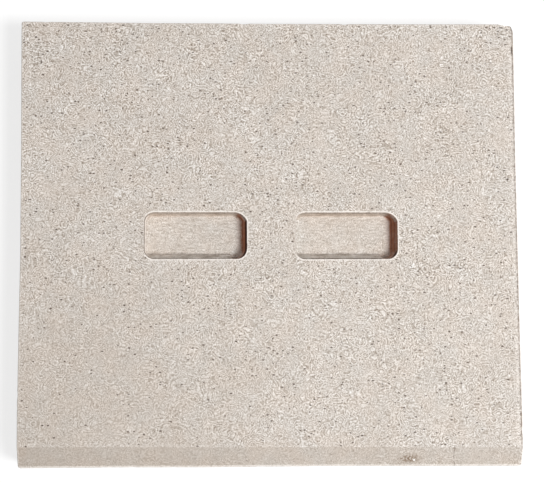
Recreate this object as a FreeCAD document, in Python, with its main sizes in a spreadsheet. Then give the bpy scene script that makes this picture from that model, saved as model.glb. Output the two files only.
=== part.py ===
import FreeCAD, Part
import math
import os
import Sketcher

# A pressed fireclay lining brick for a stove or hearth: one flat slab, fired in one piece.
# Its upper face has two blind grip recesses side by side, and its front edge falls away in
# a shallow bevel. The slab lies flat, X along its length, Y to its back, Z up, with the
# origin at the middle of its underside.

NODE = "firebrick"

# Driving sizes in millimetres: alias, value, what it measures.
SIZES = (
    ("slab_length", 300.0, "slab along X"),
    ("slab_depth", 268.0, "slab along Y, the bevel included"),
    ("slab_thickness", 30.0, "slab along Z"),
    ("corner_radius", 1.5, "three upright corners of the slab"),
    ("worn_corner_radius", 2.4, "back right upright corner, rubbed round"),
    ("arris_radius", 0.6, "edges all round the upper face and the underside"),
    ("bevel_width", 12.1, "bevel on the upper front edge, along Y"),
    ("bevel_drop", 4.0, "how far the bevel falls towards the front"),
    ("recess_length", 61.7, "rim of a recess along X"),
    ("recess_breadth", 28.0, "rim of a recess along Y"),
    ("recess_sink", 10.0, "from the face down to a recess floor"),
    ("recess_pitch", 90.7, "from one recess to the next along X"),
    ("recess_shift_right", 0.4, "middle of the pair, right of the slab's middle"),
    ("recess_shift_back", 3.5, "middle of the pair, behind the slab's middle"),
    ("rim_corner_radius", 6.0, "three corners of a recess's rim"),
    ("rim_clip_radius", 8.6, "the rim's back right corner, an arc cut short"),
    ("rim_clip_drop", 5.1, "how far that arc comes down the rim's right edge"),
    ("floor_corner_radius", 2.6, "three corners of a recess's floor"),
    ("floor_clip_radius", 6.0, "the floor's back right corner, an arc cut short"),
    ("floor_clip_drop", 3.6, "how far that arc comes down the floor's right edge"),
    ("left_wall_run", 1.0, "how far a recess's left wall slopes in"),
    ("right_wall_run", 3.6, "how far its right wall slopes in"),
    ("back_wall_run", 1.0, "how far its back wall slopes in"),
    ("front_wall_run", 3.7, "how far its front wall slopes in"),
)
RECESS_COUNT = 2

LEVEL = 1e-4        # mm, two heights closer than this are the same
QUARTER_TURN = math.pi / 2

# How a sketch numbers the two ends of a line or arc, and its own origin
START, END = range(1, 3)
ORIGIN = (-1, START)

doc = FreeCAD.newDocument("Firebrick")

# The sheet of driving sizes
sheet = doc.addObject("Spreadsheet::Sheet", "Sizes")
for row, (alias, value, meaning) in enumerate(SIZES, start=1):
    sheet.set("A%d" % row, meaning)
    sheet.set("B%d" % row, str(value))
    sheet.setAlias("B%d" % row, alias)
doc.recompute()

body = doc.addObject("PartDesign::Body", NODE)
body.Label = NODE
body.Placement = FreeCAD.Placement()


def bind(item, path, formula):
    """Tie a property to a formula, in which {alias} stands for a cell of the sheet."""
    cells = {alias: "<<Sizes>>." + alias for alias, _value, _meaning in SIZES}
    item.setExpression(path, formula.format(**cells))


def worth(formula):
    """What such a formula comes to now, in millimetres."""
    cells = {alias: float(sheet.get(alias)) for alias, _value, _meaning in SIZES}
    return float(sheet.evalExpression(formula.format(**cells)))


def origin_feature(role):
    """A plane or axis of the body's own origin."""
    return next(item for item in body.Origin.OriginFeatures if item.Role == role)


def new_sketch(name, plane, shifts=()):
    """A sketch on an origin plane, shifted along the axes that shifts gives formulas for."""
    sketch = body.newObject("Sketcher::SketchObject", name)
    sketch.AttachmentSupport = (origin_feature(plane), [""])
    sketch.MapMode = "FlatFace"
    for axis, formula in shifts:
        bind(sketch, "AttachmentOffset.Base." + axis, formula)
    return sketch


def dimension(sketch, kind, geometry, name, formula):
    """One named dimension of a sketch, tied to a formula."""
    index = sketch.addConstraint(Sketcher.Constraint(kind, *geometry, worth(formula)))
    sketch.renameConstraint(index, name)
    bind(sketch, "Constraints." + name, formula)


def rounded_outline(sketch, left, right, front, back, radius, last_radius, last_drop=None):
    """A rectangle with rounded corners about the sketch's origin, all sizes as formulas.

    Three corners have the one radius. The back right corner has its own, and with a drop
    its arc is cut short: it leaves the back edge smoothly and meets the right edge at an
    angle, that far below the back edge.
    """
    x0, x1 = -worth(left), worth(right)
    y0, y1 = -worth(front), worth(back)
    r, last = worth(radius), worth(last_radius)
    drop = worth(last_drop) if last_drop else last
    lead = math.sqrt(last * last - (last - drop) ** 2)
    stop = math.acos(lead / last) if last_drop else 0.0

    def point(x, y):
        return FreeCAD.Vector(x, y, 0)

    def arc(x, y, bend, start, end):
        circle = Part.Circle(point(x, y), FreeCAD.Vector(0, 0, 1), bend)
        return Part.ArcOfCircle(circle, start, end)

    pieces = [
        Part.LineSegment(point(x0 + r, y0), point(x1 - r, y0)),
        arc(x1 - r, y0 + r, r, -QUARTER_TURN, 0.0),
        Part.LineSegment(point(x1, y0 + r), point(x1, y1 - drop)),
        arc(x1 - lead, y1 - last, last, stop, QUARTER_TURN),
        Part.LineSegment(point(x1 - lead, y1), point(x0 + r, y1)),
        arc(x0 + r, y1 - r, r, QUARTER_TURN, 2 * QUARTER_TURN),
        Part.LineSegment(point(x0, y1 - r), point(x0, y0 + r)),
        arc(x0 + r, y0 + r, r, 2 * QUARTER_TURN, 3 * QUARTER_TURN),
    ]
    sketch.addGeometry(pieces, False)
    (front_line, front_right, right_line, back_right,
     back_line, back_left, left_line, front_left) = range(len(pieces))
    smooth = [
        (front_line, END, front_right, START),
        (front_right, END, right_line, START),
        (back_line, START, back_right, END),
        (back_line, END, back_left, START),
        (back_left, END, left_line, START),
        (left_line, END, front_left, START),
        (front_left, END, front_line, START),
    ]
    for joint in smooth:
        sketch.addConstraint(Sketcher.Constraint("Tangent", *joint))
    last_joint = "Coincident" if last_drop else "Tangent"
    sketch.addConstraint(Sketcher.Constraint(last_joint, right_line, END, back_right, START))
    for line in (front_line, back_line):
        sketch.addConstraint(Sketcher.Constraint("Horizontal", line))
    for line in (right_line, left_line):
        sketch.addConstraint(Sketcher.Constraint("Vertical", line))
    for corner in (back_left, front_left):
        sketch.addConstraint(Sketcher.Constraint("Equal", front_right, corner))
    dimension(sketch, "Radius", (front_right,), "radius", radius)
    dimension(sketch, "Radius", (back_right,), "last_radius", last_radius)
    if last_drop:
        dimension(sketch, "DistanceY", (right_line, END, back_line, START), "last_drop", last_drop)
    dimension(sketch, "DistanceX", (left_line, START, *ORIGIN), "left", left)
    dimension(sketch, "DistanceX", (*ORIGIN, right_line, START), "right", right)
    dimension(sketch, "DistanceY", (front_line, START, *ORIGIN), "front", front)
    dimension(sketch, "DistanceY", (*ORIGIN, back_line, START), "back", back)


def cut(feature, what):
    """Recompute a feature that takes material away, and see that it did."""
    doc.recompute()
    body.Tip = feature
    if feature.Shape.isNull() or feature.Shape.Volume >= feature.BaseFeature.Shape.Volume:
        raise RuntimeError(what + " takes nothing off the slab")


def make_slab():
    """The plain slab, pressed as one block."""
    outline = new_sketch("SlabOutline", "XY_Plane")
    rounded_outline(outline, "{slab_length} / 2", "{slab_length} / 2", "{slab_depth} / 2",
                    "{slab_depth} / 2", "{corner_radius}", "{worn_corner_radius}")
    slab = body.newObject("PartDesign::Pad", "Slab")
    slab.Profile = outline
    bind(slab, "Length", "{slab_thickness}")
    doc.recompute()
    body.Tip = slab


def make_bevel():
    """The shallow bevel that runs the whole length of the upper front edge."""
    profile = new_sketch("BevelProfile", "YZ_Plane")
    front, top = -worth("{slab_depth}") / 2, worth("{slab_thickness}")
    width, drop = worth("{bevel_width}"), worth("{bevel_drop}")
    crest = FreeCAD.Vector(front + width, top, 0)
    edge = FreeCAD.Vector(front, top, 0)
    foot = FreeCAD.Vector(front, top - drop, 0)
    pieces = [Part.LineSegment(crest, edge), Part.LineSegment(edge, foot), Part.LineSegment(foot, crest)]
    profile.addGeometry(pieces, False)
    top_line, front_line, slope = range(len(pieces))
    for first, second in ((top_line, front_line), (front_line, slope), (slope, top_line)):
        profile.addConstraint(Sketcher.Constraint("Coincident", first, END, second, START))
    profile.addConstraint(Sketcher.Constraint("Horizontal", top_line))
    profile.addConstraint(Sketcher.Constraint("Vertical", front_line))
    dimension(profile, "DistanceX", (top_line, END, top_line, START), "width", "{bevel_width}")
    dimension(profile, "DistanceY", (front_line, END, front_line, START), "drop", "{bevel_drop}")
    dimension(profile, "DistanceX", (top_line, END, *ORIGIN), "front", "{slab_depth} / 2")
    dimension(profile, "DistanceY", (*ORIGIN, top_line, END), "top", "{slab_thickness}")
    bevel = body.newObject("PartDesign::Pocket", "Bevel")
    bevel.Profile = profile
    bevel.Midplane = True
    bind(bevel, "Length", "2 * {slab_length}")
    cut(bevel, "The bevel")


def make_arrises():
    """The small rounds all round the underside and the upper face, the bevel's foot included."""
    bevelled = body.Tip
    crest = worth("{bevel_width} - {slab_depth} / 2")
    upper = worth("{slab_thickness} - {bevel_drop}")
    names = []
    for number, edge in enumerate(bevelled.Shape.Edges, start=1):
        box = edge.BoundBox
        under = box.ZMax < LEVEL
        at_crest = box.YLength < LEVEL and abs(box.YMin - crest) < LEVEL
        if under or (box.ZMin > upper - LEVEL and not at_crest):
            names.append("Edge%d" % number)
    arrises = body.newObject("PartDesign::Fillet", "Arrises")
    arrises.Base = (bevelled, names)
    bind(arrises, "Radius", "{arris_radius}")
    cut(arrises, "The arris round")


def make_recesses():
    """Two blind recesses with sloping walls, pressed into the upper face."""
    place = [
        ("x", "{recess_shift_right} - {recess_pitch} / 2"),
        ("y", "{recess_shift_back}"),
    ]
    rim = new_sketch("RecessRim", "XY_Plane", place + [("z", "{slab_thickness}")])
    rounded_outline(rim, "{recess_length} / 2", "{recess_length} / 2",
                    "{recess_breadth} / 2", "{recess_breadth} / 2",
                    "{rim_corner_radius}", "{rim_clip_radius}", "{rim_clip_drop}")
    floor = new_sketch("RecessFloor", "XY_Plane", place + [("z", "{slab_thickness} - {recess_sink}")])
    rounded_outline(floor, "{recess_length} / 2 - {left_wall_run}",
                    "{recess_length} / 2 - {right_wall_run}",
                    "{recess_breadth} / 2 - {front_wall_run}",
                    "{recess_breadth} / 2 - {back_wall_run}",
                    "{floor_corner_radius}", "{floor_clip_radius}", "{floor_clip_drop}")
    recess = body.newObject("PartDesign::SubtractiveLoft", "Recess")
    recess.Profile = rim
    recess.Sections = [floor]
    recess.Ruled = True
    cut(recess, "The first recess")
    row = body.newObject("PartDesign::LinearPattern", "RecessPair")
    row.Originals = [recess]
    row.Direction = (origin_feature("X_Axis"), [""])
    row.Occurrences = RECESS_COUNT
    bind(row, "Length", "{recess_pitch}")
    cut(row, "The second recess")


make_slab()
make_bevel()
make_arrises()
make_recesses()
doc.recompute()

# Every object of the document has to be sound before anything is written
for item in doc.Objects:
    if {"Invalid", "Error"} & set(item.State):
        raise RuntimeError("%s did not compute: %s" % (item.Name, item.State))
brick = body.Shape
if brick.isNull() or not brick.isValid() or len(brick.Solids) != 1:
    raise RuntimeError("The brick is not one sound solid")

os.makedirs("parts", exist_ok=True)
brick.exportStep("parts/%s.step" % NODE)
print(NODE, "volume %.1f cm3" % (brick.Volume / 1000.0), brick.BoundBox)
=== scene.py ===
import math
from itertools import product

import bpy
import numpy as np
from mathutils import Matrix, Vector, kdtree
from mathutils.geometry import delaunay_2d_cdt


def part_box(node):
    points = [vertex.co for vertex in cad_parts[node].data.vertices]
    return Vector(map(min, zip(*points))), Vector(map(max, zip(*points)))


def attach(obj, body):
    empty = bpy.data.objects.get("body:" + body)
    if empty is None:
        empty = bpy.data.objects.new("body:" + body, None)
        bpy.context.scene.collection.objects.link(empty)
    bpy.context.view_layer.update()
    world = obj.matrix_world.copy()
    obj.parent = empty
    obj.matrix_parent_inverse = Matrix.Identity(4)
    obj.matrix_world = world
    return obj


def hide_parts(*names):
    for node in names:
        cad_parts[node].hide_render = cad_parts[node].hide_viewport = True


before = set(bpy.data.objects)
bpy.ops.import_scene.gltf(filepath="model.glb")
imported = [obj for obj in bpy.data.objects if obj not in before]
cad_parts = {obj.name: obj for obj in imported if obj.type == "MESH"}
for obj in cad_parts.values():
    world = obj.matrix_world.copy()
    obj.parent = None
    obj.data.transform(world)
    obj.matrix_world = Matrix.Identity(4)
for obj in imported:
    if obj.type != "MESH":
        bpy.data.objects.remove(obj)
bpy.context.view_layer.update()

NODE = "firebrick"
MM = 0.001

# The slab's box comes from the frame
LOW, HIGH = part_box(NODE)
TOP = HIGH.z
HALF_LENGTH = (HIGH.x - LOW.x) / 2
HALF_DEPTH = (HIGH.y - LOW.y) / 2

# These repeat the model's sizes
CORNER_R = 1.5 * MM
WORN_CORNER_R = 2.4 * MM  # the back right one
BEVEL_DROP = 4.0 * MM
RECESS_BREADTH = 28.0 * MM
RECESS_SINK = 10.0 * MM
RECESS_PITCH = 90.7 * MM
PAIR_X = 0.4 * MM  # middle of the pair
LEFT_RUN = 1.0 * MM  # how far each wall slopes in
RIGHT_RUN = 3.6 * MM
BACK_RUN = 1.0 * MM
FRONT_RUN = 3.7 * MM
RIM_CORNERS = (6.0 * MM, 6.0 * MM, 6.0 * MM)  # front left, front right, back left
RIM_CLIP = (8.6 * MM, 5.1 * MM)  # back right: radius and drop
FLOOR_CLIP = (6.0 * MM, 3.6 * MM)

# Where the brick is less even than the model
BEVEL_WIDTHS = (12.9 * MM, 11.3 * MM)  # at the slab's left and right end
RECESS_LENGTHS = (61.45 * MM, 61.85 * MM)  # the left recess and the right one
RECESS_Y = (3.6 * MM, 3.4 * MM)  # their middles
FLOOR_CORNERS = (1.7 * MM, 3.2 * MM, 4.4 * MM)  # front left, front right, back left
FRONT_STEP = 9.4 * MM  # this far from a recess's right rim its front wall turns steep
FRONT_STEP_EASE = (-0.5 * MM, 0.7 * MM)
FRONT_STEEP_RUN = 1.2 * MM
ARRIS = 0.8 * MM  # worn round of the slab's edges
RIM_ROUND = 0.2 * MM  # worn round of a recess's rim
FOOT_ROUND = 0.3 * MM  # hollow where a recess's wall meets its floor
FOOT_WAVER = 0.3 * MM  # how far that line wanders along the front
FOOT_WAVER_SIZE = 6.0  # and how far apart its bends are, in millimetres

# How finely the visible skin is divided
FACE_STEP = 1.25 * MM
SIDE_STEP = 1.8 * MM
FLOOR_STEP = 1.0 * MM
UNDER_STEP = 3.2 * MM
KEEP_FLAT = 0.6 * MM  # from a worn round to the next ring on the flat
CREST_LINES = (-0.45 * MM, 0.0, 0.45 * MM)  # edges along the bevel's crest
CREST_END = 3 * ARRIS  # how far they stop before the slab's ends
HALO_RINGS = (1.15 * MM, 0.8 * MM, 0.3 * MM)  # rings outside a rim, for its painted highlight line
WALL_RINGS = (0.06, 0.11, 0.17, 0.24, 0.32, 0.4, 0.48, 0.56, 0.64, 0.72, 0.8, 0.88)
ARRIS_TURNS = (0, 30, 60, 90)  # degrees, from the flat to the side
SHAKE = 0.27  # how far a vertex on the flat is shaken, in steps
CLEARANCE = 0.62  # how near it may come to a ring, in steps

# The seed of everything random, and what each fill and the chips add to it
SEED = 4711
FACE_SEED = 1
UNDER_SEED = 2
CHIP_SEED = 5
FLOOR_SEED = 10  # and 11 for the right recess

# The seeds of the bumps
WIDE_SEED = 0
GRAIN_SEED = 10
PIT_SEED = 20
NIBBLE_SEED = 21
RAGGED_SEED = 31
WAVER_SEED = 40  # and 41 for the right recess

# What is painted on the skin, as an amount at every vertex
PAINTS = (
    "cut",       # the smoother surfaces: bevel, sides and underside
    "sunk",      # the recesses' floors and walls
    "pale",      # rubbed edges, and painted light on some walls, floors, rims and the right edge
    "dark_lines",      # fine dark lines along the recesses' rims and feet and the slab's right edge; at the feet, painted shade
    "wall",      # all the walls
    "warm",      # the back walls, and most of the right recess's floor
    "brown",     # the recesses' right walls, facing away from the lamp: partly a brown stain, partly painted shade
    "stripe",    # darker stripes down those walls, partly painted shade
    "black",     # the darkest line, along the rims there: painted shade
)

# Paint on the rings from the slab's side (first) over its arris to the face (last): cut,
# pale, a painted highlight along the right edge, and a dark line along the right edge
EDGE_PAINTS = (
    (1.0, 0.1, 0.8, 0.0),
    (0.8, 0.25, 0.8, 0.0),
    (0.4, 0.4, 0.6, 0.0),
    (0.0, 0.3, 0.0, 1.5),
    (0.0, 0.0, 0.1, 0.35),
)
UNDER_EDGE_PALE = (0.3, 0.5, 0.3, 0.1)  # from the underside up
EDGE_LEAN = (0.6, 0.95)  # how far a normal leans to a side that its point belongs to
DARK_EDGE_FROM = (8 * MM, 14 * MM)  # the right edge's dark line starts so far from the front
RIGHT_EDGE_LIGHT = (  # pale bands of painted light on the face there: amount, start and end of fading
    (0.7, 2.1 * MM, 3.0 * MM),
    (0.08, 3.0 * MM, 6.0 * MM),
)
CREST_PALE = 0.12
CREST_CUT = (-0.1 * MM, 0.4 * MM)  # the bevel's smoother finish starts here
RIGHT_LIGHT_FROM_CREST = (0.0, 2.0 * MM)

# A rim point belongs to a side by how far its normal leans there
RIGHT_LEAN = (0.3, 0.8)
SHADE_STAIN_LEAN = (0.15, 0.6)  # the brown and its painted shade reach further round the corners
SIDE_LEAN = (0.3, 0.9)  # left, back and front
WAVER_LEAN = (0.5, 0.9)  # for the wandering foot of the front wall

# Parts of the rim at its right end, from where each starts to where it is full
CLIP_REACH = (-0.8 * MM, 0.6 * MM)  # backwards from the cut corner's start
LOW_CORNER_REACH = (-0.5 * MM, 2.5 * MM)  # forwards from the front corner's start
END_REACH = (-10 * MM, -7 * MM)  # along the front, from the right rim
DARK_END_REACH = (-9.5 * MM, -6.0 * MM)
CORNER_PULL = 1.4  # widens the two corners

# Paint round a recess's rim: a pale line of painted highlight
HALO_PALE = (0.7, 1.0, 1.0)  # the two rings next to it and the start of its round
HALO_LEFT = 0.05
HALO_RIGHT = 1.2

# Paint on a recess's walls, from its rim (0) to its foot (1). Four places are where a paint
# starts, is full, fades and ends, and two are where it starts or fades.
FRONT_RIM_LINE = (0.08, 0.2)
BACK_RIM_LINE = (0.1, 0.25, 0.4, 0.55)
LEFT_RIM_LINE = (0.0, 0.05, 0.2, 0.38)
FOOT_LINE = (0.84, 0.96)
FRONT_LIGHT_BAND = (0.15, 0.3, 0.75, 0.9)
LEFT_LIGHT_BANDS = ((0.2, 0.4, 0.5, 0.9), (0.0, 0.1, 0.5, 0.9))  # left and right recess
WALL_BAND = (0.0, 0.1, 0.9, 1.0)
SUNK_START = (0.0, 0.08)
WARM_START = (0.0, 0.1)
BROWN_START = (0.0, 0.05)
RIM_BROWN_END = (0.2, 0.35)
FOOT_BROWN_START = (0.75, 0.92)
CLIP_BROWN_START = (0.3, 0.5)
# Dark lines on the walls: painted shade along their feet
FOOT_SHADE_FRONT = 0.75
FOOT_SHADE_BACK = 0.3
FOOT_SHADE_LEFT = 0.1
WALL_DARK_LINES = 0.8
FEWER_LINES_END = 0.7  # how much of the dark lines goes at the front wall's right end
# Painted light on the front walls, which the lamp reaches only at a grazing angle
FRONT_WALL_LIGHT = 0.36
CLIP_BROWN = 0.4  # what of the brown is left in the cut corner's upper part
LOW_CORNER_BROWN = 0.65  # and in the round front right corner
END_BROWN = 0.35  # on the front wall's right end
FOOT_FADE = (0.85, 0.6, 0.35, 0.24)  # the brown on the rings of the hollow foot
STRIPE_CORNER_LESS = 0.7  # what the front right corner takes off the stripes
DARK_END = 0.9  # the dark line of painted shade at the front wall's right end
DARK_BACK_LESS = 0.6  # what the back side and the cut corner take off it
DARK_CLIP_LESS = 0.5
DARK_DEPTH = 0.12  # how far down it reaches, more where it is strong
DARK_DEEPER = 0.18
DARK_CORNER_DEEPER = 0.12
DARK_FADE = 0.1

# How strong some of them are in the left and in the right recess
FRONT_RIM_DARKNESS = (0.8, 1.8)
LEFT_RIM_DARKNESS = (2.2, 0.0)
# Painted light on the left walls, which face the lamp
LEFT_WALL_LIGHT = (1.1, 0.7)
RIM_BROWN = (1.0, 0.85)
FOOT_BROWN = (0.65, 1.0)
BLACK_RIM = (1.0, 0.35)  # the dark line of painted shade along the straight of the right rim
FLOOR_WARM = (0.0, 0.3)
STRIPE_PLACES = (0.0, 0.15, 0.25, 0.38, 0.5, 0.6, 0.78, 0.9, 1.0)
STRIPES = (
    (0.6, 0.55, 0.3, 0.1, 0.1, 0.5, 0.8, 0.4, 0.1),
    (0.0, 0.0, 0.2, 1.0, 0.4, 0.2, 1.0, 0.3, 0.0),
)

# Paint on a recess's floor: brown painted shade and painted light near its walls
FLOOR_SHADE_BROWN = 0.24  # painted shade beside the right wall
FLOOR_CORNER_SHADE_BROWN = 0.3  # painted shade in the corner beyond the front wall's step
# Painted light beside the right and back walls, lifting the shade at their feet
FLOOR_LIGHT_RIGHT = 0.6
FLOOR_LIGHT_BACK = 0.2
BY_RIGHT = (0.0, 3.2 * MM)  # these fade so far from the walls
BY_BACK = (0.4 * MM, 1.6 * MM)
WARM_FROM = (12 * MM, 28 * MM)  # the warm tone rises so far from the left rim
STEP_CORNER_X = (0.0, 2.0 * MM)  # the corner beyond the step, and how its brown fades inwards
STEP_CORNER_Y = (-1.0 * MM, 0.5 * MM)


def rise(value, low, high):
    """From 0 at low to 1 at high, easing in and out."""
    share = np.clip((value - low) / (high - low), 0, 1)
    return share * share * (3 - 2 * share)


def stretch(value, start, full, fade, end):
    """1 from full to fade, easing to 0 at start and end."""
    return rise(value, start, full) * (1 - rise(value, fade, end))


def bend(start, corner, stop, share):
    """A point on the smooth curve that rounds a corner."""
    return (1 - share) ** 2 * start + 2 * share * (1 - share) * corner + share ** 2 * stop


def at_height(points, height):
    """Points in the plane, lifted to a height, or each to its own."""
    return np.column_stack([points, np.broadcast_to(height, len(points))])


def lay_arc(cx, cy, radius, start, stop, count):
    """Points and outward normals on an arc, its end point left out."""
    angle = start + (stop - start) * np.arange(count) / count
    normal = np.stack([np.cos(angle), np.sin(angle)], 1)
    return np.array([cx, cy]) + radius * normal, normal


def lay_line(a, b, normal, count):
    """Points and normals on a straight stretch, its end point left out."""
    t = (np.arange(count) / count)[:, None]
    return np.array(a) + t * (np.array(b) - np.array(a)), np.tile(normal, (count, 1))


def rounded_ring(x0, x1, y0, y1, corners, clip, counts):
    """A rounded rectangle, run anticlockwise from the front edge's left end.

    corners are the radii at the front left, front right and back left. clip is the back
    right arc's radius, and how far down it meets the right edge. counts has the number of
    points on each of the eight parts.
    """
    front_left, front_right, back_left = corners
    last, last_drop = clip
    lead = math.sqrt(last * last - (last - last_drop) ** 2)
    stop = math.acos(lead / last)
    quarter = math.pi / 2
    parts = [
        lay_line((x0 + front_left, y0), (x1 - front_right, y0), (0, -1), counts[0]),
        lay_arc(x1 - front_right, y0 + front_right, front_right, -quarter, 0, counts[1]),
        lay_line((x1, y0 + front_right), (x1, y1 - last_drop), (1, 0), counts[2]),
        lay_arc(x1 - lead, y1 - last, last, stop, quarter, counts[3]),
        lay_line((x1 - lead, y1), (x0 + back_left, y1), (0, 1), counts[4]),
        lay_arc(x0 + back_left, y1 - back_left, back_left, quarter, 2 * quarter, counts[5]),
        lay_line((x0, y1 - back_left), (x0, y0 + front_left), (-1, 0), counts[6]),
        lay_arc(x0 + front_left, y0 + front_left, front_left, 2 * quarter, 3 * quarter, counts[7]),
    ]
    return np.concatenate([p for p, _n in parts]), np.concatenate([n for _p, n in parts])


def ring_counts(length, breadth, radius, last_radius, step):
    """How many points each of a ring's eight parts takes at about one spacing."""
    def steps(distance):
        return max(3, round(distance / step))

    along, across = steps(length), steps(breadth)
    corner = steps(radius * math.pi / 2)
    last = steps(last_radius * math.pi / 2)
    return [along, corner, across, last, along, corner, across, corner]


def inside(points, ring):
    """Which points lie inside a closed ring."""
    x, y = points[:, 0], points[:, 1]
    found = np.zeros(len(points), bool)
    low, high = ring.min(0), ring.max(0)
    near = np.flatnonzero((x > low[0]) & (x < high[0]) & (y > low[1]) & (y < high[1]))
    px, py = x[near], y[near]
    odd = np.zeros(len(near), bool)
    for (ax, ay), (bx, by) in zip(ring, np.roll(ring, -1, 0)):
        if ay == by:
            continue
        crosses = (ay > py) != (by > py)
        odd ^= crosses & (px < (bx - ax) * (py - ay) / (by - ay) + ax)
    found[near] = odd
    return found


def scatter(low, high, step, seed):
    """Points about one step apart over a rectangle, in a triangular grid, a little shaken."""
    draw = np.random.default_rng(SEED + seed)
    row_gap = step * math.sqrt(3) / 2
    rows = []
    for row in range(int((high[1] - low[1]) / row_gap) + 1):
        xs = np.arange(low[0] + (row % 2) * step / 2, high[0], step)
        ys = np.full(len(xs), low[1] + row * row_gap)
        rows.append(np.stack([xs, ys], 1) + draw.uniform(-SHAKE, SHAKE, (len(xs), 2)) * step)
    return np.concatenate(rows)


def clear_of(fixed, points, gap):
    """Which points lie further than a gap from every fixed one."""
    near = kdtree.KDTree(len(fixed))
    for index, (x, y) in enumerate(fixed):
        near.insert((x, y, 0.0), index)
    near.balance()
    return np.array([near.find((x, y, 0.0))[2] for x, y in points]) > gap


class Skin:
    """The growing mesh: its vertices, its faces and what is painted on the vertices."""

    def __init__(self):
        self.points = []
        self.faces = []
        self.count = 0
        self.strokes = {name: [] for name in PAINTS}

    def add(self, points):
        """Adds points and returns their numbers."""
        self.points.append(np.asarray(points, float))
        first = self.count
        self.count += len(points)
        return np.arange(first, self.count)

    def paint(self, name, numbers, amount):
        """Paints some vertices. Where strokes overlap, the stronger one stays."""
        self.strokes[name].append((numbers, amount))

    def painted(self, name):
        """What is painted under one name, for every vertex."""
        values = np.zeros(self.count)
        for numbers, amount in self.strokes[name]:
            values[numbers] = np.maximum(values[numbers], amount)
        return values

    def plan(self, numbers):
        """The x and y of some vertices."""
        return np.concatenate(self.points)[numbers][:, :2]

    def bands(self, rings):
        """Adds closed rings, with quads up an outer side or down into a recess between them."""
        made = [self.add(ring) for ring in rings]
        for first, second in zip(made, made[1:]):
            quads = [first, np.roll(first, -1), np.roll(second, -1), second]
            self.faces.extend(np.stack(quads, 1).tolist())
        return made

    def fill(self, height, outline, holes, lines, step, seed, downward=False):
        """Triangles over a flat region inside an outline, with holes and lines kept in it.

        height gives the z of a new vertex from its x and y.
        """
        fixed = np.concatenate([outline, *holes, *lines])
        flat = self.plan(fixed)
        edge = self.plan(outline)
        gaps = [self.plan(hole) for hole in holes]

        def within(points):
            found = inside(points, edge)
            for gap in gaps:
                found &= ~inside(points, gap)
            return found

        loose = scatter(flat.min(0), flat.max(0), step, seed)
        loose = loose[within(loose)]
        loose = loose[clear_of(flat, loose, CLEARANCE * step)]
        new = self.add(at_height(loose, height(loose[:, 0], loose[:, 1])))
        numbers = np.concatenate([fixed, new])
        flat = np.concatenate([flat, loose])
        edges, first = [], 0
        for ring in (outline, *holes):
            edges += [(first + i, first + (i + 1) % len(ring)) for i in range(len(ring))]
            first += len(ring)
        for line in lines:
            edges += [(first + i, first + i + 1) for i in range(len(line) - 1)]
            first += len(line)
        made = delaunay_2d_cdt([Vector(p) for p in flat], edges, [], 0, 1e-9)
        triangles = np.array(made[2])
        triangles = numbers[triangles[within(flat[triangles].mean(1))]]
        self.faces.extend((triangles[:, ::-1] if downward else triangles).tolist())
        return new


def crest_y(x):
    """Where the bevel's crest runs at a given x."""
    share = (x - LOW.x) / (HIGH.x - LOW.x)
    return LOW.y + BEVEL_WIDTHS[0] + share * (BEVEL_WIDTHS[1] - BEVEL_WIDTHS[0])


def face_height(x, y):
    """The upper face: level, then falling along the bevel."""
    crest = crest_y(x)
    fall = np.clip((crest - y) / (crest - LOW.y), 0, None)
    return TOP - BEVEL_DROP * fall


def build_sides(skin):
    """The slab's sides and arrises, ring by ring from the underside up.

    Returns the underside's outline and the upper face's.
    """
    counts = ring_counts(2 * HALF_LENGTH, 2 * HALF_DEPTH, CORNER_R, WORN_CORNER_R, SIDE_STEP)
    edge, normal = rounded_ring(LOW.x, HIGH.x, LOW.y, HIGH.y, (CORNER_R,) * 3,
                                (WORN_CORNER_R, WORN_CORNER_R), counts)
    arris = [(ARRIS * (1 - math.sin(turn)), ARRIS * (1 - math.cos(turn)))
             for turn in np.radians(ARRIS_TURNS)]

    def on_face(inset, drop=0.0):
        at = edge - inset * normal
        return at_height(at, face_height(at[:, 0], at[:, 1]) - drop)

    rings = [at_height(edge - inset * normal, lift) for inset, lift in arris]
    side_height = face_height(edge[:, 0], edge[:, 1]) - 2 * ARRIS
    rows = round((TOP - 2 * ARRIS) / SIDE_STEP)
    rings += [at_height(edge, ARRIS + side_height * row / rows) for row in range(1, rows)]
    rings += [on_face(inset, drop) for inset, drop in arris[::-1]]
    rings.append(on_face(ARRIS + KEEP_FLAT))
    made = skin.bands(rings)

    right = rise(normal[:, 0], *EDGE_LEAN)
    front = rise(-normal[:, 1], *EDGE_LEAN)
    above_bevel = rise(edge[:, 1] - LOW.y, *DARK_EDGE_FROM)
    for ring in made[:-len(EDGE_PAINTS)]:
        skin.paint("cut", ring, 1.0)
    for ring, amounts in zip(made[-len(EDGE_PAINTS):], EDGE_PAINTS):
        cut, pale, right_pale, right_dark_line = amounts
        skin.paint("cut", ring, cut)
        skin.paint("pale", ring, pale * (1 - right + front))
        # A painted highlight along the right edge, which faces the lamp
        skin.paint("pale", ring, right_pale * right)
        # A dark line along the right edge
        skin.paint("dark_lines", ring, right_dark_line * right * above_bevel)
    for ring, amount in zip(made, UNDER_EDGE_PALE):
        skin.paint("pale", ring, amount)
    return made[0], made[-1]


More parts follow.
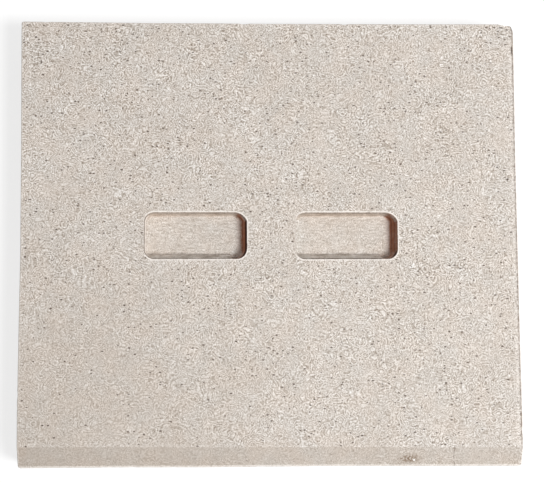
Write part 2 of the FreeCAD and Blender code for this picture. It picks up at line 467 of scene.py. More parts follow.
class Recess:
    """Where one recess's rim runs, and how far each point of it belongs to a side."""

    def __init__(self, index):
        self.index = index
        middle = PAIR_X + (index - 0.5) * RECESS_PITCH
        length = RECESS_LENGTHS[index]
        self.x0, self.x1 = middle - length / 2, middle + length / 2
        self.y0 = RECESS_Y[index] - RECESS_BREADTH / 2
        self.y1 = RECESS_Y[index] + RECESS_BREADTH / 2
        self.counts = ring_counts(length, RECESS_BREADTH, RIM_CORNERS[0], RIM_CLIP[0], FLOOR_STEP)
        self.rim, self.way = rounded_ring(self.x0, self.x1, self.y0, self.y1,
                                          RIM_CORNERS, RIM_CLIP, self.counts)

        way_x, way_y = self.way.T
        self.right = rise(way_x, *RIGHT_LEAN)
        self.shade_stain = rise(way_x, *SHADE_STAIN_LEAN)
        self.left = rise(-way_x, *SIDE_LEAN)
        self.back = rise(way_y, *SIDE_LEAN)
        self.front = rise(-way_y, *SIDE_LEAN)

        # The cut corner, the round one in front of it, and the front wall's right end
        rim_x, rim_y = self.rim.T
        mostly_right = np.minimum(self.right * CORNER_PULL, 1.0)
        self.clip = mostly_right * rise(rim_y - (self.y1 - RIM_CLIP[1]), *CLIP_REACH)
        self.low_corner = mostly_right * rise(self.y0 + RIM_CORNERS[0] - rim_y, *LOW_CORNER_REACH)
        self.end = self.front * rise(rim_x - self.x1, *END_REACH)
        dark_end = DARK_END * self.front * rise(rim_x - self.x1, *DARK_END_REACH)
        self.dark = np.maximum(self.right * (1 - DARK_BACK_LESS * self.back), dark_end)

    def floor_ring(self, front_run):
        """The floor's outline and normals, with a front wall that slopes in so far."""
        return rounded_ring(self.x0 + LEFT_RUN, self.x1 - RIGHT_RUN, self.y0 + front_run,
                            self.y1 - BACK_RUN, FLOOR_CORNERS, FLOOR_CLIP, self.counts)

    def foot(self):
        """Where the walls meet the floor, and the floor's outward normals there."""
        foot, way = self.floor_ring(FRONT_RUN)
        steep = self.floor_ring(FRONT_STEEP_RUN)[0]
        stepped = rise(foot[:, :1] - (self.x1 - FRONT_STEP), *FRONT_STEP_EASE)
        foot = foot + stepped * (steep - foot)
        waver = bumps(at_height(foot, 0.0), FOOT_WAVER_SIZE, WAVER_SEED + self.index)
        return foot + (FOOT_WAVER * waver * rise(-way[:, 1], *WAVER_LEAN))[:, None] * way, way

    def layers(self):
        """The rings from the face over the rim, down the walls and onto the floor."""
        foot, foot_way = self.foot()
        top_edge = at_height(self.rim, TOP)
        low_edge = at_height(foot, TOP - RECESS_SINK)
        out, foot_out = at_height(self.way, 0.0), at_height(foot_way, 0.0)
        down = low_edge - top_edge
        face_end = top_edge + RIM_ROUND * out
        wall_start = top_edge + RIM_ROUND / RECESS_SINK * down
        wall_end = low_edge - FOOT_ROUND / RECESS_SINK * down
        floor_start = low_edge - FOOT_ROUND * foot_out
        layers = [top_edge + distance * out for distance in HALO_RINGS]
        layers += [bend(face_end, top_edge, wall_start, share) for share in (0, 0.5, 1)]
        layers += [top_edge + share * down for share in WALL_RINGS]
        layers += [bend(wall_end, low_edge, floor_start, share) for share in (0, 0.3, 0.65, 1)]
        layers.append(floor_start - KEEP_FLAT * foot_out)
        return layers


def paint_walls(skin, recess, rings, layers):
    """What is painted on a recess's walls, ring by ring from its rim down."""
    index = recess.index
    left, right_clip, low_corner = recess.left, recess.clip, recess.low_corner
    fewer_lines = 1 - FEWER_LINES_END * np.maximum(low_corner, recess.end)
    foot_shade = FOOT_SHADE_BACK * recess.back + FOOT_SHADE_FRONT * recess.front + FOOT_SHADE_LEFT * left
    dark = recess.dark * (BLACK_RIM[index] + (1 - BLACK_RIM[index]) * low_corner)
    dark_depth = DARK_DEPTH + DARK_DEEPER * BLACK_RIM[index] + DARK_CORNER_DEEPER * low_corner
    fading = [1.0] * (len(rings) - len(FOOT_FADE)) + list(FOOT_FADE)
    for ring, layer, kept in zip(rings, layers, fading):
        sunk = np.clip((TOP - layer[:, 2]) / RECESS_SINK, 0, 1)
        skin.paint("sunk", ring, rise(sunk, *SUNK_START))
        skin.paint("wall", ring, stretch(sunk, *WALL_BAND))
        skin.paint("warm", ring, recess.back * rise(sunk, *WARM_START))

        # Dark lines below the rims, and painted shade along the feet
        rim_line = (1 - rise(sunk, *FRONT_RIM_LINE)) * recess.front * FRONT_RIM_DARKNESS[index]
        rim_line += stretch(sunk, *BACK_RIM_LINE) * recess.back
        rim_line += stretch(sunk, *LEFT_RIM_LINE) * LEFT_RIM_DARKNESS[index] * left
        foot_line = rise(sunk, *FOOT_LINE) * foot_shade
        skin.paint("dark_lines", ring, WALL_DARK_LINES * np.maximum(rim_line, foot_line) * fewer_lines)
        # Painted light on the front walls, which the lamp reaches only at a grazing angle
        skin.paint("pale", ring, FRONT_WALL_LIGHT * recess.front * stretch(sunk, *FRONT_LIGHT_BAND))
        # Painted light on the left walls, which face the lamp
        skin.paint("pale", ring, LEFT_WALL_LIGHT[index] * left * stretch(sunk, *LEFT_LIGHT_BANDS[index]))

        # Brown on the right walls, which face away from the lamp: partly a stain, partly painted shade
        in_clip = np.maximum(rise(sunk, *CLIP_BROWN_START), CLIP_BROWN)
        stain_and_shade = recess.shade_stain * ((1 - right_clip) + right_clip * in_clip)
        stain_and_shade = stain_and_shade * (1 - (1 - LOW_CORNER_BROWN) * low_corner)
        stain_and_shade = stain_and_shade * (1 - (1 - FOOT_BROWN[index]) * rise(sunk, *FOOT_BROWN_START))
        stain_and_shade = stain_and_shade * (RIM_BROWN[index] + (1 - RIM_BROWN[index]) * rise(sunk, *RIM_BROWN_END))
        below_rim = rise(sunk, *BROWN_START)
        skin.paint("brown", ring, stain_and_shade * below_rim * kept)
        skin.paint("brown", ring, END_BROWN * recess.end * below_rim)
        # Darker stripes in that brown, partly painted shade, and a near-black line of painted shade just
        # below the rim
        stripes = np.interp(sunk, STRIPE_PLACES, STRIPES[index])
        skin.paint("stripe", ring, stripes * (1 - STRIPE_CORNER_LESS * low_corner))
        dark_line = 1 - rise(sunk, dark_depth, dark_depth + DARK_FADE)
        skin.paint("black", ring, dark * (1 - DARK_CLIP_LESS * right_clip) * dark_line)


def paint_floor(skin, recess, outline, floor):
    """What is painted on a recess's floor near its walls: brown painted shade and painted light."""
    at_x, at_y = skin.plan(floor).T
    by_right = 1 - rise(recess.x1 - RIGHT_RUN - at_x, *BY_RIGHT)
    by_back = 1 - rise(recess.y1 - BACK_RUN - at_y, *BY_BACK)
    in_corner = rise(at_x - (recess.x1 - FRONT_STEP), *STEP_CORNER_X)
    in_corner = in_corner * (1 - rise(at_y - (recess.y0 + FRONT_RUN), *STEP_CORNER_Y))
    skin.paint("sunk", outline, 1.0)
    skin.paint("sunk", floor, 1.0)
    skin.paint("warm", floor, FLOOR_WARM[recess.index] * rise(at_x - recess.x0, *WARM_FROM))
    # Brown painted shade and painted light on the floor beside the walls
    skin.paint("brown", outline, FLOOR_SHADE_BROWN * recess.right)
    skin.paint("brown", floor, np.maximum(FLOOR_SHADE_BROWN * by_right, FLOOR_CORNER_SHADE_BROWN * in_corner))
    skin.paint("pale", outline, np.maximum(FLOOR_LIGHT_RIGHT * recess.right, FLOOR_LIGHT_BACK * recess.back))
    skin.paint("pale", floor, np.maximum(FLOOR_LIGHT_RIGHT * by_right, FLOOR_LIGHT_BACK * by_back))


def build_recess(skin, index):
    """One recess: worn rim, sloping walls, hollow foot and floor. Returns its outer ring."""
    recess = Recess(index)
    layers = recess.layers()
    made = skin.bands(layers)
    floor = skin.fill(lambda x, y: TOP - RECESS_SINK, made[-1], [], [], FLOOR_STEP, FLOOR_SEED + index)
    # A pale line round the rim, strongest beside the shaded right wall: painted highlight
    halo = HALO_LEFT * recess.left + recess.back + recess.front + HALO_RIGHT * recess.right
    for ring, amount in zip(made[1:], HALO_PALE):
        skin.paint("pale", ring, np.minimum(amount * halo, 1.0))
    below_face = slice(len(HALO_RINGS) + 1, -1)
    paint_walls(skin, recess, made[below_face], layers[below_face])
    paint_floor(skin, recess, made[-1], floor)
    return made[0]


def build_skin():
    """The whole brick as one closed skin."""
    skin = Skin()
    under_edge, face_edge = build_sides(skin)
    rims = [build_recess(skin, index) for index in range(len(RECESS_LENGTHS))]
    along = np.linspace(LOW.x + CREST_END, HIGH.x - CREST_END, round(2 * HALF_LENGTH / FACE_STEP))
    crest = []
    for shift in CREST_LINES:
        at = crest_y(along) + shift
        crest.append(skin.add(np.column_stack([along, at, face_height(along, at)])))
    face = skin.fill(face_height, face_edge, rims, crest, FACE_STEP, FACE_SEED)
    under = skin.fill(lambda x, y: 0.0, under_edge, [], [], UNDER_STEP, UNDER_SEED, downward=True)
    skin.paint("cut", under, 1.0)
    skin.paint("pale", crest[-1], CREST_PALE)
    for part in (face_edge, face, *crest):
        x, y = skin.plan(part).T
        skin.paint("cut", part, rise(crest_y(x) - y, *CREST_CUT))
    x, y = skin.plan(face).T
    # Pale bands of painted light along the right edge, which faces the lamp
    pale_wear_and_light = sum(amount * (1 - rise(HIGH.x - x, fade, end)) for amount, fade, end in RIGHT_EDGE_LIGHT)
    skin.paint("pale", face, pale_wear_and_light * rise(y - crest_y(x), *RIGHT_LIGHT_FROM_CREST))
    return skin


# The relief left by pressing, firing and wear, every depth measured into the clay.
# Each layer of bumps has the distance between them and their depth, in millimetres.
WIDE_BUMPS = ((42.0, 0.10), (12.0, 0.05))
GRAIN_BUMPS = ((3.1, 0.03), (1.5, 0.06))
SMOOTHER = {"cut": 0.62, "sunk": 0.3}  # what these surfaces take off the grain
PIT_SIZE = 2.0
PIT_FROM = 0.72  # bumps over this are pits
PIT_DEPTH = 0.5
NIBBLE_SIZE = 2.6  # small bites out of the rubbed edges
NIBBLE_DEPTH = 0.18
MEAN_WEAR = 0.08  # what the bumps take off on average, given back to the outline
CHIP_COUNT = 26
CHIP_RADII = (1.3, 2.8)
CHIP_DEPTHS = (0.25, 0.6)
LOW_CHIPS = 0.3  # share of them on the lower edges
RAGGED_SIZE = 2.2
RAGGED_BY = 0.3

# The slab's edges aren't quite straight. Each pair is a place along an edge, from -1 to 1,
# and how far the edge lies inside the true rectangle there, in millimetres.
LEFT_DRIFT = (
    (-1.0, 0.6), (-0.9, 0.38), (-0.72, 0.2), (-0.5, 0.45), (-0.05, 0.86), (0.4, 0.5), (1.0, -0.3),
)
RIGHT_DRIFT = (
    (-1.0, 0.2), (-0.88, -0.3), (-0.62, -0.08), (-0.4, 0.13), (0.0, 0.28), (0.4, 0.4), (1.0, 0.12),
)
FRONT_DRIFT = ((-1.0, 0.35), (-0.6, 0.35), (-0.3, 0.05), (0.2, 0.2), (0.55, -0.22), (1.0, -0.6))
BACK_DRIFT = ((-1.0, 0.0), (-0.5, 0.42), (0.0, 0.5), (0.5, 0.36), (1.0, 0.0))
DRIFT_POWER = 6  # how quickly the drift dies away from an edge

# Larger chips, listed one by one: x, y and z of the middle, radius and depth, in millimetres
HAND_CHIPS = (
    (148.6, 134.6, 31.0, 6.2, 1.6),
    (151.3, 131.5, 30.6, 3.0, 0.8),
    (-150.6, 131.0, 30.0, 2.0, 0.3),
    (-136.0, 134.6, 30.0, 2.2, 0.3),
    (-150.8, -134.4, 25.2, 1.8, 0.3),
    (150.8, -134.8, 24.8, 3.0, 0.4),
    (150.9, 62.8, 30.3, 2.0, 0.6),
)

# A wrapped list of random values. A corner of a cell looks its value up by these steps.
LATTICE = np.random.default_rng(SEED).uniform(-1, 1, 1 << 16)
LATTICE_STEPS = np.array([1, 277, 6997])
SEED_STEP = 5519
CELLS_AHEAD = 100.0  # keeps the cells' numbers above zero


def bumps(points, size, seed):
    """Smooth random bumps from -1 to 1, about size millimetres apart."""
    cell = points / (size * MM) + CELLS_AHEAD
    whole = np.floor(cell).astype(int)
    ease = rise(cell - whole, 0, 1)
    total = np.zeros(len(points))
    for corner in product((0, 1), repeat=3):
        value = LATTICE[((whole + corner) @ LATTICE_STEPS + seed * SEED_STEP) % len(LATTICE)]
        total += value * np.prod(np.where(corner, ease, 1 - ease), axis=1)
    return total


def chip_depth(points, chips):
    """How deep the chips cut at each point. They are bowls with ragged edges."""
    depth = np.zeros(len(points))
    ragged = 1 + RAGGED_BY * bumps(points, RAGGED_SIZE, RAGGED_SEED)
    for x, y, z, radius, cut in chips:
        away = np.linalg.norm(points / MM - (x, y, z), axis=1) * ragged
        depth = np.maximum(depth, cut * np.sqrt(np.clip(1 - (away / radius) ** 2, 0, 1)))
    return depth


def edge_chips():
    """Small chips at random places along the slab's upper and lower edges."""
    draw = np.random.default_rng(SEED + CHIP_SEED)
    sides = ((0, -1), (0, 1), (-1, 0), (1, 0))  # front, back, left and right
    chips = []
    for _ in range(CHIP_COUNT):
        along = draw.uniform(-1, 1)
        side_x, side_y = sides[draw.integers(len(sides))]
        x = (side_x or along) * HALF_LENGTH
        y = (side_y or along) * HALF_DEPTH
        z = 0.0 if draw.random() < LOW_CHIPS else float(face_height(x, y))
        chips.append((x / MM, y / MM, z / MM, draw.uniform(*CHIP_RADII), draw.uniform(*CHIP_DEPTHS)))
    return chips


def drift(place, profile):
    """How far an edge lies inside the true rectangle at some places along it."""
    at, inward = zip(*profile)
    return np.interp(place, at, inward)


def wear(points, normals, skin):
    """The points moved into the clay by the relief."""
    rough = np.ones(len(points))
    for name, less in SMOOTHER.items():
        rough = rough * (1 - less * skin.painted(name))
    depth = np.zeros(len(points))
    for seed, (size, deep) in enumerate(WIDE_BUMPS, WIDE_SEED):
        depth += deep * (1 + bumps(points, size, seed)) / 2
    for seed, (size, deep) in enumerate(GRAIN_BUMPS, GRAIN_SEED):
        depth += rough * deep * (1 + bumps(points, size, seed)) / 2
    pits = np.clip((bumps(points, PIT_SIZE, PIT_SEED) - PIT_FROM) / (1 - PIT_FROM), 0, 1)
    depth += rough * rough * PIT_DEPTH * pits
    bites = np.clip(bumps(points, NIBBLE_SIZE, NIBBLE_SEED) + 0.1, 0, 1)
    depth += NIBBLE_DEPTH * skin.painted("pale") * bites
    depth = np.maximum(depth, chip_depth(points, list(HAND_CHIPS) + edge_chips()))
    moved = points - depth[:, None] * MM * normals
    along, across = moved[:, 0] / HALF_LENGTH, moved[:, 1] / HALF_DEPTH
    ends = np.where(along < 0, drift(across, LEFT_DRIFT), -drift(across, RIGHT_DRIFT))
    sides = np.where(across < 0, drift(along, FRONT_DRIFT), -drift(along, BACK_DRIFT))
    moved[:, 0] += (MEAN_WEAR * along + ends) * MM * along ** DRIFT_POWER
    moved[:, 1] += (MEAN_WEAR * across + sides) * MM * across ** DRIFT_POWER
    moved[:, 2] = np.clip(moved[:, 2], 0, TOP)
    return moved


def place(name, data):
    """A new object in the scene."""
    thing = bpy.data.objects.new(name, data)
    bpy.context.scene.collection.objects.link(thing)
    return thing


def make_brick():
    """The brick's mesh object, with its paints as vertex values."""
    skin = build_skin()
    points = np.concatenate(skin.points)
    mesh = bpy.data.meshes.new(NODE + "_skin")
    mesh.from_pydata(points.tolist(), [], skin.faces)
    mesh.update()
    normals = np.empty(3 * len(points))
    mesh.vertices.foreach_get("normal", normals)
    mesh.vertices.foreach_set("co", wear(points, normals.reshape(-1, 3), skin).ravel())
    for name in PAINTS:
        layer = mesh.attributes.new(name, "FLOAT", "POINT")
        layer.data.foreach_set("value", skin.painted(name))
    mesh.polygons.foreach_set("use_smooth", [True] * len(mesh.polygons))
    mesh.update()
    mesh.validate()
    return place(mesh.name, mesh)


class Shades:
    """Short ways to add a material's or a world's nodes and join them. Sizes are in millimetres."""

    def __init__(self, owner):
        self.nodes = owner.node_tree.nodes
        self.links = owner.node_tree.links

    def feed(self, socket, value):
        """Joins a node's output to a socket, or sets the socket to a plain value."""
        if isinstance(value, bpy.types.NodeSocket):
            self.links.new(value, socket)
        else:
            socket.default_value = value

    def split(self, kind, value):
        """The three parts of a vector or colour."""
        node = self.nodes.new(kind)
        self.feed(node.inputs[0], value)
        return list(node.outputs)

    def maths(self, operation, first, second=0.0):
        node = self.nodes.new("ShaderNodeMath")
        node.operation = operation
        self.feed(node.inputs[0], first)
        self.feed(node.inputs[1], second)
        return node.outputs["Value"]

    def times(self, *values):
        """The product of several values."""
        total = values[0]
        for value in values[1:]:
            total = self.maths("MULTIPLY", total, value)
        return total

    def vector(self, operation, first, second):
        node = self.nodes.new("ShaderNodeVectorMath")
        node.operation = operation
        self.feed(node.inputs[0], first)
        self.feed(node.inputs["Scale" if operation == "SCALE" else 1], second)
        return node.outputs["Value" if operation == "LENGTH" else "Vector"]

    def span(self, value, low, high, start=0.0, stop=1.0):
        """A value's place between low and high, laid out from start to stop."""
        node = self.nodes.new("ShaderNodeMapRange")
        for name, number in (("Value", value), ("From Min", low), ("From Max", high),
                             ("To Min", start), ("To Max", stop)):
            self.feed(node.inputs[name], number)
        return node.outputs["Result"]

    def across(self, value, start, stop):
        """start where a value is 0, and stop where it is 1."""
        return self.span(value, 0.0, 1.0, start, stop)

    def noise(self, where, size, detail=1.0, roughness=0.5):
        node = self.nodes.new("ShaderNodeTexNoise")
        self.feed(node.inputs["Vector"], where)
        node.inputs["Scale"].default_value = 1 / size
        node.inputs["Detail"].default_value = detail
        node.inputs["Roughness"].default_value = roughness
        return node.outputs["Fac"]

    def cells(self, where, size):
        """The distance to the middle of the nearest cell, and that cell's random colour."""
        node = self.nodes.new("ShaderNodeTexVoronoi")
        self.feed(node.inputs["Vector"], where)
        node.inputs["Scale"].default_value = 1 / size
        return node.outputs["Distance"], node.outputs["Color"]

    def mix(self, amount, first, second, blend="MIX"):
        node = self.nodes.new("ShaderNodeMix")
        node.data_type = "RGBA"
        node.blend_type = blend
        for socket, value in ((0, amount), (6, first), (7, second)):
            self.feed(node.inputs[socket], value)
        return node.outputs[2]

    def tinted(self, amount, colour, tint):
        """A colour, multiplied by a tint where the amount is 1."""
        return self.mix(amount, colour, self.mix(1.0, colour, tint, "MULTIPLY"))

    def painted(self, name):
        node = self.nodes.new("ShaderNodeAttribute")
        node.attribute_name = name
        return node.outputs["Fac"]

    def spot(self, where, middle, radii):
        """1 in the middle of an ellipsoid, falling to 0 at its surface."""
        shift = self.vector("SUBTRACT", where, middle)
        reach = self.vector("MULTIPLY", shift, tuple(1 / r for r in radii))
        return self.span(self.vector("LENGTH", reach, (0.0, 0.0, 0.0)), 0.0, 1.0, 1.0, 0.0)

    def for_camera(self, output, seen, others):
        """Shows one shader to the camera's own rays and another to all the rest."""
        mix = self.nodes.new("ShaderNodeMixShader")
        path = self.nodes.new("ShaderNodeLightPath")
        for socket, value in zip(mix.inputs, (path.outputs["Is Camera Ray"], others, seen)):
            self.feed(socket, value)
        self.feed(output.inputs["Surface"], mix.outputs["Shader"])


# Colours and tints as linear values
CLAY = (0.655, 0.593, 0.534)
DARKS_BROWNER = (0.88, 1.0, 1.13)  # powers of the grain's light for red, green and blue
REDDER = (1.012, 0.998, 0.988, 1.0)
BLUER = (0.990, 1.002, 1.012, 1.0)
SUNK_TINT = (0.989, 0.995, 0.998, 1.0)
# Painted shade at the right recess's left end
END_SHADE_TINT = (0.905, 0.945, 0.975, 1.0)
WARM = (1.0, 0.94, 0.89, 1.0)
SPECK = (0.075, 0.045, 0.03, 1.0)
LIGHT_GRAIN = (0.90, 0.86, 0.82, 1.0)
# For the recesses' right walls: partly a brown stain, partly painted shade
BROWN = (0.45, 0.17, 0.085, 1.0)
DARK_BROWN = (0.14, 0.043, 0.02, 1.0)
BLACK = (0.055, 0.016, 0.008, 1.0)
RUST = (0.20, 0.125, 0.07, 1.0)
# Rubbed edges, and painted light and highlights
PALE = (0.97, 0.91, 0.85, 1.0)
PALE_DOT = (0.95, 0.92, 0.88, 1.0)
# Dark lines, painted shade at the recesses' feet, and the hairline crack
DARK_LINE_COLOUR = (0.20, 0.15, 0.12, 1.0)

# Sizes of the clay's patterns, in millimetres
FINE_GRAIN = 0.9
CURLS = 5.6  # the grain's fine lines curl round patches of this size
CURL_LINES = 10.0  # this many lines from the lowest noise to the highest
SPECK_CELLS = 2.35
FLOOR_STREAKS = 1.2
WALL_LAYERS = 2.4
QUIET_PATCHES = 17.0
HUE_PATCHES = 14.0
PALE_GAPS = 2.2
DARK_LINE_GAPS = 1.6
STAIN_SHADE_STREAKS = 1.2
STAIN_GRAIN = 1.25
CRACK_BENDS = 5.0
CRACK_GAPS = 2.2
MOTTLING = ((38.0, 3.0, 0.025), (9.0, 2.0, 0.02))  # size, detail and strength

# Where some patterns start, and how others are squeezed along X, Y and Z
CURLS_FROM = (57.0, 91.0, 13.0)
QUIET_FROM = (31.0, 77.0, 0.0)
HUE_FROM = (7.0, 3.0, 0.0)
SPECK_SQUEEZE = (0.75, 1.3, 1.0)
FLOOR_SQUEEZE = (0.25, 1.0, 0.25)
LAYER_SQUEEZE = (0.35, 1.0, 0.35)
STAIN_SHADE_SQUEEZE = (1.0, 0.2, 0.3)

# Marks, in millimetres from the slab's origin: a middle and three radii
# Painted shade towards the front left corner, furthest from the lamp, where the grain and specks are also
# calmer
SHADED_CORNER = ((-160.0, -150.0, 28.0), (210.0, 190.0, 90.0))
# Painted shade, darker and greyer, at the right recess's left end, whose wall faces the lamp
SHADED_END = ((14.8, 3.4, 20.0), (12.0, 60.0, 60.0))
STAIN = ((82.4, -129.6, 27.6), (8.5, 3.4, 3.0))
STAIN_DOT = ((85.0, -130.4, 27.4), (1.0, 0.8, 1.5))
STAIN_SMEAR = ((75.4, -132.6, 26.5), (8.0, 2.2, 3.0))
MARK_Z = 30.0
DARK_MARKS = (  # x and y, and the radii
    (142.2, 131.6, 2.0, 0.6, 1.5),
    (145.9, 130.3, 1.4, 0.6, 1.5),
    (140.3, 129.4, 0.7, 0.7, 1.5),
    (140.0, 127.7, 0.6, 0.6, 1.5),
    (140.7, 125.5, 0.7, 0.6, 1.5),
    (135.7, 122.0, 0.7, 0.7, 1.5),
    (144.1, 37.4, 0.8, 0.8, 1.5),
    (147.0, 68.3, 0.8, 0.6, 1.5),
    (148.4, 117.5, 0.6, 3.6, 2.5),
    (-141.4, 124.3, 0.9, 0.8, 1.5),
    (-138.0, 109.0, 0.7, 1.4, 1.5),
    (-144.3, -120.6, 0.9, 0.6, 1.5),
)
CRACK_X = 109.0
CRACK_TOP = -122.6  # its upper end's y
CRACK_HEIGHTS = (19.0, 25.0)  # it fades out down the side between these
CRACK_WIDTH = (0.1, 0.42)  # full and faded half width
CRACK_WANDER = 0.35
RELIEF = 0.14 * MM


class Fireclay(Shades):
    """Fired fireclay: matt, finely grained, with specks, the marks of wear, and some painted light and
    shade.
    """

    def __init__(self, material):
        super().__init__(material)
        place = self.nodes.new("ShaderNodeTexCoord").outputs["Object"]
        self.where = self.vector("SCALE", place, 1 / MM)
        self.x, self.y, self.z = self.split("ShaderNodeSeparateXYZ", self.where)
        self.paint = {name: self.painted(name) for name in PAINTS}
        self.calm = self.maths("MAXIMUM", self.paint["cut"], self.times(self.paint["sunk"], 0.95))
        self.corner = self.spot(self.where, *SHADED_CORNER)
        self.fine = self.noise(self.where, FINE_GRAIN, roughness=0.75)

    def moved(self, shift):
        return self.vector("ADD", self.where, shift)

    def scaled(self, factors):
        return self.vector("MULTIPLY", self.where, factors)

    def grain(self):
        """The grain's light: fine clay and nested curling lines, calmer in some places."""
        clay_light = self.span(self.fine, 0.25, 0.75, -0.44, 0.44)
        level = self.noise(self.moved(CURLS_FROM), CURLS, detail=0.0)
        level = self.maths("ADD", level, self.times(self.fine, 0.04))
        lines = self.maths("SINE", self.times(level, 2 * math.pi * CURL_LINES))
        grain = self.maths("ADD", clay_light, self.times(lines, 0.235))
        patchy = self.noise(self.moved(QUIET_FROM), QUIET_PATCHES)
        strength = self.times(
            self.across(self.calm, 1.0, 0.6),
            self.across(self.corner, 1.02, 0.6),
            self.span(patchy, 0.3, 0.7, 0.8, 1.2),
            self.span(self.y, -130.0, 130.0, 0.93, 1.03),
        )
        return self.maths("ADD", self.times(grain, strength), 1.0)

    def recess_light(self):
        """Streaks along the recesses' floors, and rougher layers in their walls."""
        streaks = self.noise(self.scaled(FLOOR_SQUEEZE), FLOOR_STREAKS, detail=2.0)
        streaks = self.span(streaks, 0.3, 0.7, -0.15, 0.15)
        layered = self.noise(self.scaled(LAYER_SQUEEZE), WALL_LAYERS, detail=2.0, roughness=0.6)
        layered = self.span(layered, 0.3, 0.7, -0.5, 0.5)
        layered = self.times(layered, self.paint["wall"], self.across(self.paint["warm"], 1.0, 0.4))
        streaks = self.times(self.maths("ADD", streaks, layered), self.paint["sunk"])
        return self.maths("ADD", streaks, self.across(self.paint["sunk"], 1.0, 1.015))

    def body(self):
        """The clay's own colour."""
        mottling = [self.span(self.noise(self.where, size, detail), 0.3, 0.7, 1 - by, 1 + by)
                    for size, detail, by in MOTTLING]
        light = self.times(
            self.grain(),
            *mottling,
            self.recess_light(),
            self.across(self.paint["cut"], 1.0, 0.865),
            # painted shade towards the front left corner
            self.across(self.corner, 1.0, 0.868),
        )
        join = self.nodes.new("ShaderNodeCombineXYZ")
        for index, power in enumerate(DARKS_BROWNER):
            self.feed(join.inputs[index], self.times(self.maths("POWER", light, power), CLAY[index]))
        hue = self.span(self.noise(self.moved(HUE_FROM), HUE_PATCHES), 0.35, 0.65)
        colour = self.mix(1.0, join.outputs[0], self.mix(hue, REDDER, BLUER), "MULTIPLY")
        colour = self.tinted(self.paint["sunk"], colour, SUNK_TINT)
        # Painted shade: darker and greyer at the right recess's left end
        end_shade = self.times(self.paint["sunk"], self.spot(self.where, *SHADED_END))
        return self.tinted(end_shade, colour, END_SHADE_TINT)

    def speckled(self, colour):
        """Dark specks, fewer in the shaded front left corner, and pale grog grains."""
        reach, chance = self.cells(self.scaled(SPECK_SQUEEZE), SPECK_CELLS)
        kind, size, strength = self.split("ShaderNodeSeparateColor", chance)
        speck = self.maths("SUBTRACT", reach, self.across(size, 0.08, 0.27))
        speck = self.times(self.span(speck, -0.03, 0.0, 1.0, 0.0), self.across(self.calm, 1.0, 0.3))
        fewer = self.maths("ADD", kind, self.span(self.corner, 0.1, 0.5, 0.0, 0.4))
        dark = self.times(speck, self.span(fewer, 0.60, 0.62, 1.0, 0.0), self.across(strength, 0.5, 1.0))
        light = self.times(speck, self.span(kind, 0.72, 0.74), self.across(strength, 0.15, 0.6))
        return self.mix(light, self.mix(dark, colour, SPECK), LIGHT_GRAIN)

    def worn_lit_and_shaded(self, colour):
        """Rubbed edges with painted light, dark lines with painted shade at the feet, and the recesses'
        right walls: partly brown stain, partly painted shade.
        """
        # Pale: rubbed edges, and painted light and highlights
        broken = self.noise(self.where, PALE_GAPS, detail=2.0)
        pale_wear_and_light = self.times(self.paint["pale"], self.span(broken, 0.36, 0.58, 0.62, 1.0))
        colour = self.tinted(self.paint["warm"], self.mix(pale_wear_and_light, colour, PALE), WARM)
        # Dark lines along the rims and the right edge, and painted shade along the recesses' feet
        line_breaks = self.span(self.noise(self.where, DARK_LINE_GAPS, detail=2.0), 0.38, 0.62, 0.25, 0.7)
        colour = self.mix(self.times(self.paint["dark_lines"], line_breaks), colour, DARK_LINE_COLOUR)
        # The recesses' right walls: partly a brown stain, partly painted shade
        upright = self.noise(self.scaled(STAIN_SHADE_SQUEEZE), STAIN_SHADE_STREAKS, detail=2.0)
        uneven = self.span(upright, 0.3, 0.7, 0.85, 1.0)
        brown = self.mix(self.times(self.paint["stripe"], uneven), BROWN, DARK_BROWN)
        colour = self.mix(self.times(self.paint["brown"], uneven), colour, brown)
        # A near-black line of painted shade just below the right rims
        return self.mix(self.times(self.paint["black"], 0.9), colour, BLACK)

    def marked(self, colour):
        """The stain with its pale dot, single dark marks, and the hairline crack."""
        ragged = self.noise(self.where, STAIN_GRAIN, detail=2.0, roughness=0.7)
        stain = self.span(self.spot(self.where, *STAIN), 0.0, 0.6)
        colour = self.mix(self.times(stain, self.span(ragged, 0.44, 0.56, 0.12, 0.85)), colour, RUST)
        smear = self.spot(self.where, *STAIN_SMEAR)
        colour = self.mix(self.times(smear, self.span(ragged, 0.35, 0.6, 0.05, 0.22)), colour, RUST)
        dot = self.span(self.spot(self.where, *STAIN_DOT), 0.0, 0.5)
        colour = self.mix(dot, colour, PALE_DOT)
        marks = 0.0
        for x, y, *radii in DARK_MARKS:
            marks = self.maths("MAXIMUM", self.spot(self.where, (x, y, MARK_Z), radii), marks)
        colour = self.mix(self.span(marks, 0.0, 0.45, 0.0, 0.8), colour, SPECK)
        wander = self.span(self.noise(self.where, CRACK_BENDS), 0.3, 0.7, -CRACK_WANDER, CRACK_WANDER)
        off = self.maths("SUBTRACT", self.maths("ADD", self.x, wander), CRACK_X)
        crack = self.times(
            self.span(self.maths("ABSOLUTE", off), *CRACK_WIDTH, 1.0, 0.0),
            self.span(self.z, *CRACK_HEIGHTS),
            self.span(self.y, CRACK_TOP, CRACK_TOP + 1.0, 1.0, 0.0),
            self.span(self.noise(self.where, CRACK_GAPS), 0.35, 0.6, 0.25, 0.75),
        )
        return self.mix(crack, colour, DARK_LINE_COLOUR)

    def finish(self, colour):
        """The shader's sockets, and the fine relief that the mesh is too coarse for."""
        shader = self.nodes["Principled BSDF"]
        relief = self.nodes.new("ShaderNodeBump")
        relief.inputs["Distance"].default_value = RELIEF
        self.feed(relief.inputs["Strength"], self.across(self.calm, 0.9, 0.45))
        self.feed(relief.inputs["Height"], self.fine)
        self.feed(shader.inputs["Normal"], relief.outputs["Normal"])
        self.feed(shader.inputs["Base Color"], colour)
        self.feed(shader.inputs["Roughness"], self.span(self.fine, 0.3, 0.7, 0.97, 0.88))
        shader.inputs["Specular IOR Level"].default_value = 0.12


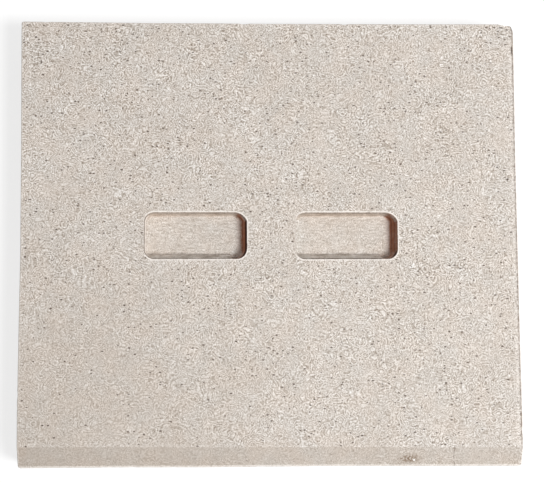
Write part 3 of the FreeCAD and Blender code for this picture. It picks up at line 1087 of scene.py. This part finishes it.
def make_fireclay():
    """The brick's one material."""
    material = bpy.data.materials.new("fireclay")
    material.use_nodes = True
    clay = Fireclay(material)
    clay.finish(clay.marked(clay.worn_lit_and_shaded(clay.speckled(clay.body()))))
    return material


# Camera, lamp, world and floor
LENS_PX = 1200.0  # focal length in pixels of the 544 px wide frame
FRAME_WIDTH_PX = 544.0
SENSOR_WIDTH = 36.0
CAMERA_AT = (-25.60 * MM, -64.79 * MM, 746.57 * MM)
CAMERA_TURN = (5.168, -2.094, -0.256)  # degrees about X, Y and Z, from straight down
CLIP_START = 0.01
LAMP_DISTANCE = 2.1
LAMP_ELEVATION = 59.0
LAMP_AZIMUTH = -26.0  # degrees from +X towards the front
LAMP_SIZE = 0.7
LAMP_POWER = 35.0
WORLD_STRENGTH = 0.42
SEEN_WORLD_STRENGTH = 1.0
FLOOR_HALF = 4.0
FLOOR_GREY = 0.8  # as the brick sees the floor
FLOOR_ROUGHNESS = 0.9
SEEN_FLOOR_GREY = 0.35  # as the camera sees it: this grey, lit, with a glow added
SEEN_FLOOR_GLOW = 0.72


def make_camera():
    """The camera, high above the brick and looking almost straight down."""
    data = bpy.data.cameras.new("camera")
    data.sensor_width = SENSOR_WIDTH
    data.lens = data.sensor_width * LENS_PX / FRAME_WIDTH_PX
    data.clip_start = CLIP_START
    camera = place("camera", data)
    camera.location = CAMERA_AT
    camera.rotation_euler = [math.radians(a) for a in CAMERA_TURN]
    bpy.context.scene.camera = camera


def make_lamp():
    """One round lamp to the right and a little in front."""
    lamp = bpy.data.lights.new("key", "AREA")
    lamp.shape = "DISK"
    lamp.size = LAMP_SIZE
    lamp.energy = LAMP_POWER
    key = place("key", lamp)
    elevation, azimuth = math.radians(LAMP_ELEVATION), math.radians(LAMP_AZIMUTH)
    level = math.cos(elevation)
    way = Vector((level * math.cos(azimuth), level * math.sin(azimuth), math.sin(elevation)))
    key.location = way * LAMP_DISTANCE
    key.rotation_euler = way.to_track_quat("Z", "Y").to_euler()


def make_world():
    """A white backdrop for the camera, and a dimmer one that lights the brick."""
    world = bpy.data.worlds.new("studio")
    world.use_nodes = True
    shades = Shades(world)
    shades.nodes.clear()
    backdrops = []
    for strength in (SEEN_WORLD_STRENGTH, WORLD_STRENGTH):
        backdrop = shades.nodes.new("ShaderNodeBackground")
        backdrop.inputs["Strength"].default_value = strength
        backdrops.append(backdrop.outputs["Background"])
    shades.for_camera(shades.nodes.new("ShaderNodeOutputWorld"), *backdrops)
    bpy.context.scene.world = world


def make_floor():
    """A wide floor that the camera sees as nearly white, with the brick's soft shadow."""
    mesh = bpy.data.meshes.new("floor")
    corners = [(x * FLOOR_HALF, y * FLOOR_HALF, 0) for x, y in ((-1, -1), (1, -1), (1, 1), (-1, 1))]
    mesh.from_pydata(corners, [], [(0, 1, 2, 3)])
    material = bpy.data.materials.new("pale_floor")
    material.use_nodes = True
    shades = Shades(material)
    shader = shades.nodes["Principled BSDF"]
    shader.inputs["Base Color"].default_value = (FLOOR_GREY, FLOOR_GREY, FLOOR_GREY, 1)
    shader.inputs["Roughness"].default_value = FLOOR_ROUGHNESS
    diffuse = shades.nodes.new("ShaderNodeBsdfDiffuse")
    diffuse.inputs["Color"].default_value = (SEEN_FLOOR_GREY, SEEN_FLOOR_GREY, SEEN_FLOOR_GREY, 1)
    glow = shades.nodes.new("ShaderNodeEmission")
    glow.inputs["Strength"].default_value = SEEN_FLOOR_GLOW
    both = shades.nodes.new("ShaderNodeAddShader")
    shades.feed(both.inputs[0], diffuse.outputs["BSDF"])
    shades.feed(both.inputs[1], glow.outputs["Emission"])
    output = shades.nodes["Material Output"]
    shades.for_camera(output, both.outputs["Shader"], shader.outputs["BSDF"])
    mesh.materials.append(material)
    place("floor", mesh)


brick = make_brick()
brick.data.materials.append(make_fireclay())
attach(brick, "root")
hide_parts(NODE)
make_camera()
make_lamp()
make_world()
make_floor()
bpy.context.scene.view_settings.view_transform = "Standard"
